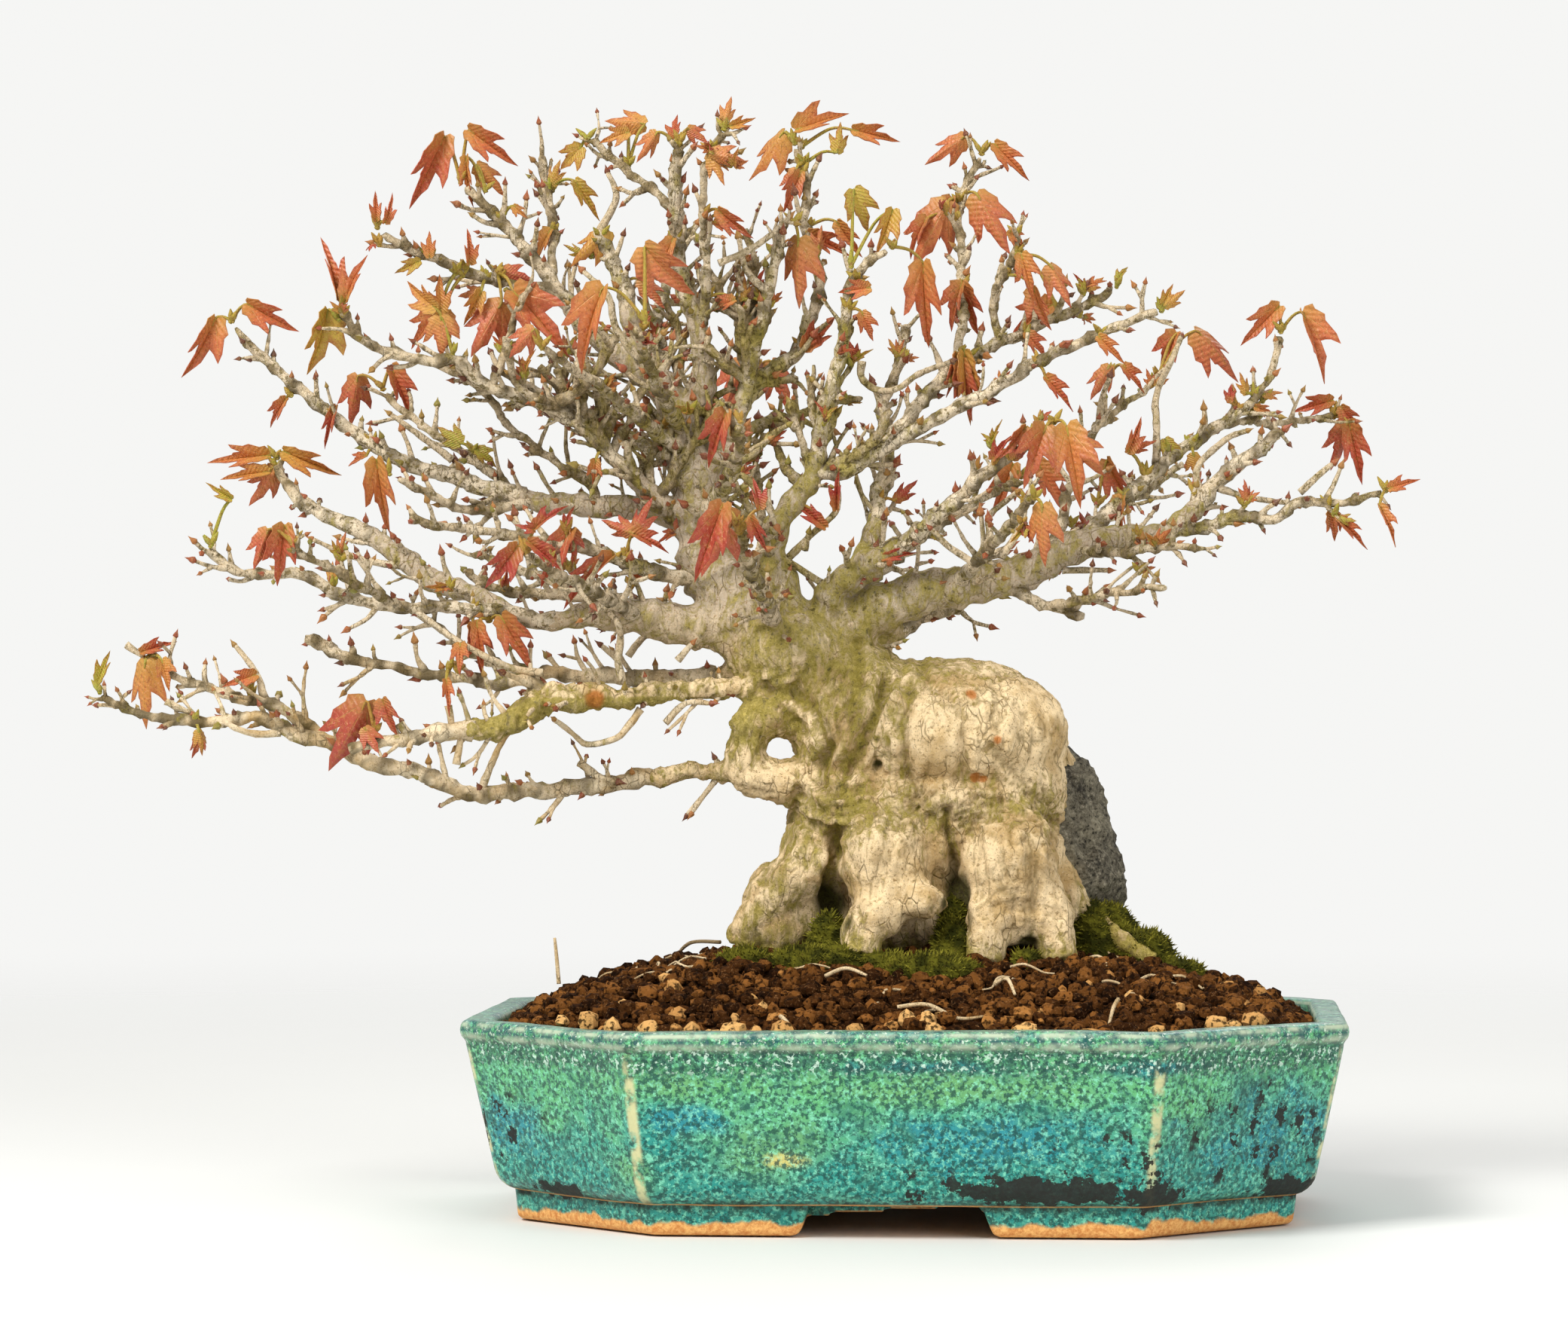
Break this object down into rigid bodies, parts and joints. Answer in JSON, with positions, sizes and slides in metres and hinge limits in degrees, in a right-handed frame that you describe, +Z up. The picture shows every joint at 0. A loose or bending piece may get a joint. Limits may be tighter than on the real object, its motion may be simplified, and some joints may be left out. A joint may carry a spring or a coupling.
{
  "type": "bonsai tree in a pot",
  "caption": "Trident maple bonsai with spreading bare limbs and young drooping red leaves, its roots grown over a dark rock, in a glazed cut-corner ceramic pot.",
  "frame": {"origin": "bottom centre of the whole object's box, on the surface that the pot stands on", "axes": "+X along the pot's long side, towards the tree's short side on the right; +Y towards the back of the pot; +Z up"},
  "size_m": [0.3236, 0.1764, 0.2711],
  "materials": {
    "glaze": "glossy mottled turquoise, green and blue glaze with cream runs at the corners, unglazed brown foot undersides",
    "soil_grains": "matte dark brown fired-clay grains with some tan ones",
    "stone": "rough dark grey",
    "bark": "matte pale tan bark with grey-green and mossy patches",
    "moss": "soft matte green",
    "leaf": "satin orange-red young leaves, some olive green",
    "screen_plastic": "matte black",
    "clip_wire": "dull bare wire"
  },
  "bodies": {
    "root": {"apex_big": "leaf", "apex_pair": "leaf", "apex_under": "leaf", "back_crown_leaf": "leaf", "back_right_leaf": "leaf", "big_droop": "leaf", "crest_spread": "leaf", "crest_tuft": "leaf", "crown_front": "leaf", "crown_right_drop": "leaf", "crown_right_up": "leaf", "drain_screen_left": "screen_plastic", "drain_screen_right": "screen_plastic", "fan_cluster": "leaf", "fan_pair": "leaf", "fan_tip_inner": "leaf", "fan_tip_pair": "leaf", "far_left_green": "leaf", "far_left_pair": "leaf", "front_red": "leaf", "hanging_tongue": "leaf", "high_right": "leaf", "inner_right_pair": "leaf", "inner_right_small": "leaf", "left_drop": "leaf", "long_droop": "leaf", "low_left_big": "leaf", "low_red": "leaf", "mid_drop": "leaf", "mid_left_pair": "leaf", "moss_front": "moss", "moss_left": "moss", "moss_right": "moss", "olive_crest": "leaf", "olive_drop": "leaf", "olive_hook": "leaf", "olive_tip": "leaf", "pot": "glaze", "red_left": "leaf", "right_end": "leaf", "right_end_drop": "leaf", "right_tuft": "leaf", "right_wave": "leaf", "rock": "stone", "scar_hanger": "leaf", "screen_clip_left": "clip_wire", "screen_clip_right": "clip_wire", "shelf_cluster": "leaf", "shelf_star": "leaf", "side_right": "leaf", "soil": "soil_grains", "top_bud": "leaf", "top_left_drop": "leaf", "top_left_orange": "leaf", "top_left_tip": "leaf", "tree_wood": "bark", "under_fork": "leaf", "upright_pair": "leaf", "yellow_pair": "leaf"}
  },
  "joints": []
}
